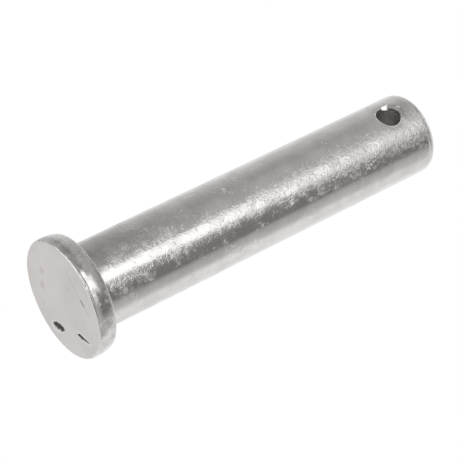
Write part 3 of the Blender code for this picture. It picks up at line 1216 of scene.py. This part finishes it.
# %% [markdown]
# ## Shades and a card
#
# The head's side swells, so it mirrors the paper lower down than the shank does. There
# the paper is darker, and a grey card to the right of the window lights the frosted part
# of that side. A weak shade high up on the right keeps the shank's edge from going white.

# %% Darken the low paper and add the card
LOW_GREY = 0.50


def band(tree, value, low, low_full, high_full, high):
    """Full between the two inner values, gone outside the outer ones."""
    return times(tree, ramped(tree, value, low, low_full), faded(tree, value, high_full, high))


near_floor = times(tree, ramped(tree, either_way, 22.0, 28.5, 0.40, 0.0),
                   ramped(tree, wrapped, 20.0, 80.0, 1.0, 0.15),
                   ramped(tree, wrapped, -185.0, -120.0),
                   ramped(tree, either_way, 12.0, 23.0, 0.45, 1.0))
backing = mixed(tree, near_floor, backing, grey(0.0))
card = times(tree, faded(tree, either_way, 18.0, 23.0),
             band(tree, wrapped, 22.0, 34.0, 90.0, 110.0))
backing = mixed(tree, card, backing, grey(LOW_GREY))
high_right = times(tree, ramped(tree, either_way, 29.0, 34.0, 0.0, 0.12),
                   band(tree, wrapped, 84.0, 96.0, 118.0, 140.0))
backing = mixed(tree, high_right, backing, grey(0.0))
print("paper nodes, without windows:", len(tree.nodes))

# %% [markdown]
# ## The windows
#
# The long highlight on the shank is the window. Its right side slants away as it goes up,
# as the highlight's end does. Its foot is wider and brighter, which makes the highlight on
# the head's side longer. A second window, low down, lights the rim of the head's face.
# Lamps could stand here instead, but a ramp gives each edge its own softness and slant.

# %% Open the windows
WINDOW_LEVEL = 1.43
FOOT_LEVEL = 1.50
LOW_WINDOW_LEVEL = 1.20
# Over 1, so that the foot's soft edges are steeper once it is held at 1
FOOT_STRENGTH = 1.5

slanted = added(tree, wrapped, ramped(tree, either_way, 24.0, 36.0, 0.0, -11.0, "LINEAR"))
window = times(tree, band(tree, either_way, 8.0, 10.0, 28.0, 40.0),
               ramped(tree, wrapped, -23.5, -12.5), faded(tree, slanted, 2.5, 10.5))
foot = times(tree, ramped(tree, either_way, 8.0, 12.0, 0.0, FOOT_STRENGTH),
             faded(tree, either_way, 21.0, 23.5), band(tree, wrapped, -34.0, -22.0, 18.0, 32.0))
window = maths(tree, "MINIMUM", largest(tree, window, foot), 1.0)
low_window = times(tree, faded(tree, height_angle, -48.0, -38.0),
                   band(tree, wrapped, -160.0, -130.0, -8.0, 0.0))
lit = mixed(tree, window, backing, grey(WINDOW_LEVEL))
lit = mixed(tree, maths(tree, "MINIMUM", foot, 1.0), lit, grey(FOOT_LEVEL))
lit = mixed(tree, low_window, lit, grey(LOW_WINDOW_LEVEL))

glow = tree.nodes.new("ShaderNodeEmission")
feed(tree, glow.inputs["Color"], lit)
tent_out = tree.nodes.new("ShaderNodeOutputMaterial")
feed(tree, tent_out.inputs["Surface"], glow.outputs[0])
paper_tent.data.materials.append(paper)
print("paper nodes:", len(tree.nodes))

# %% [markdown]
# ## A pale floor
#
# The pin stands on its head on a pale floor, which shows its soft shadow. The
# photograph's camera looks up from below that floor, so the floor is made to be seen from
# above only: its material lets a ray through where it meets the floor's back. It fades
# away towards its rim, where it meets the white world.

# %% Lay the floor
FLOOR_RADIUS = 0.9
FLOOR_GAP = 0.2 * MM
FADES_FROM, GONE_AT = 0.18, 0.80

floor_shape = bmesh.new()
bmesh.ops.create_circle(floor_shape, cap_ends=True, segments=96, radius=FLOOR_RADIUS)
bmesh.ops.translate(floor_shape, verts=floor_shape.verts[:], vec=(0, 0, -FLOOR_GAP))
for face in floor_shape.faces:
    if face.normal.z < 0:
        face.normal_flip()
pale_floor = finished("pale_floor", floor_shape)
pale_floor.visible_glossy = False
pale_floor.visible_diffuse = False
pale_floor.visible_shadow = False

chalk = bpy.data.materials.new("pale_chalk")
chalk.use_nodes = True
tree = chalk.node_tree
tree.nodes.clear()
matt_white = tree.nodes.new("ShaderNodeBsdfDiffuse")
matt_white.inputs["Color"].default_value = (0.90, 0.90, 0.895, 1.0)
clear = tree.nodes.new("ShaderNodeBsdfTransparent")
side_seen = tree.nodes.new("ShaderNodeNewGeometry")
spot = tree.nodes.new("ShaderNodeTexCoord")
from_pin = vector_maths(tree, "LENGTH", spot.outputs["Object"])
see_through = largest(tree, ramped(tree, from_pin, FADES_FROM, GONE_AT),
                      side_seen.outputs["Backfacing"])
floor_mix = tree.nodes.new("ShaderNodeMixShader")
feed(tree, floor_mix.inputs[0], see_through)
feed(tree, floor_mix.inputs[1], matt_white.outputs[0])
feed(tree, floor_mix.inputs[2], clear.outputs[0])
floor_out = tree.nodes.new("ShaderNodeOutputMaterial")
feed(tree, floor_out.inputs["Surface"], floor_mix.outputs[0])
pale_floor.data.materials.append(chalk)
print("floor radius in metres:", FLOOR_RADIUS)

# %% [markdown]
# ## World and lamp
#
# The camera and every reflection see a plain white world, so the background is white and
# the metal shows it. Matt surfaces get a plain, even light from the world and a little
# more from one broad lamp, whose soft shadow sets the pin on its floor.

# %% Light the scene
MATT_LIGHT = 0.80
LAMP_AWAY = 0.9

world = bpy.data.worlds.new("white_room")
world.use_nodes = True
bpy.context.scene.world = world
tree = world.node_tree
tree.nodes.clear()
ray = tree.nodes.new("ShaderNodeLightPath").outputs
seen = added(tree, ray["Is Camera Ray"], ray["Is Glossy Ray"], ray["Is Transmission Ray"])
seen = maths(tree, "MINIMUM", seen, 1.0)
background = tree.nodes.new("ShaderNodeBackground")
background.inputs["Color"].default_value = (1.0, 1.0, 1.0, 1.0)
strength = ramped(tree, seen, 0.0, 1.0, MATT_LIGHT, 1.0, "LINEAR")
feed(tree, background.inputs["Strength"], strength)
world_out = tree.nodes.new("ShaderNodeOutputWorld")
feed(tree, world_out.inputs["Surface"], background.outputs[0])

lamp_data = bpy.data.lights.new("broad_lamp", "AREA")
lamp_data.shape = "DISK"
lamp_data.size = 0.5
lamp_data.energy = 3.2
lamp = bpy.data.objects.new("broad_lamp", lamp_data)
bpy.context.scene.collection.objects.link(lamp)
to_lamp = direction(math.radians(150), math.radians(55))
lamp.location = to_lamp * LAMP_AWAY
lamp.rotation_euler = to_lamp.to_track_quat("Z", "Y").to_euler()
lamp.visible_glossy = False
bpy.context.scene.view_settings.view_transform = "Standard"
print("lamp at, in metres:", [round(value, 3) for value in lamp.location])
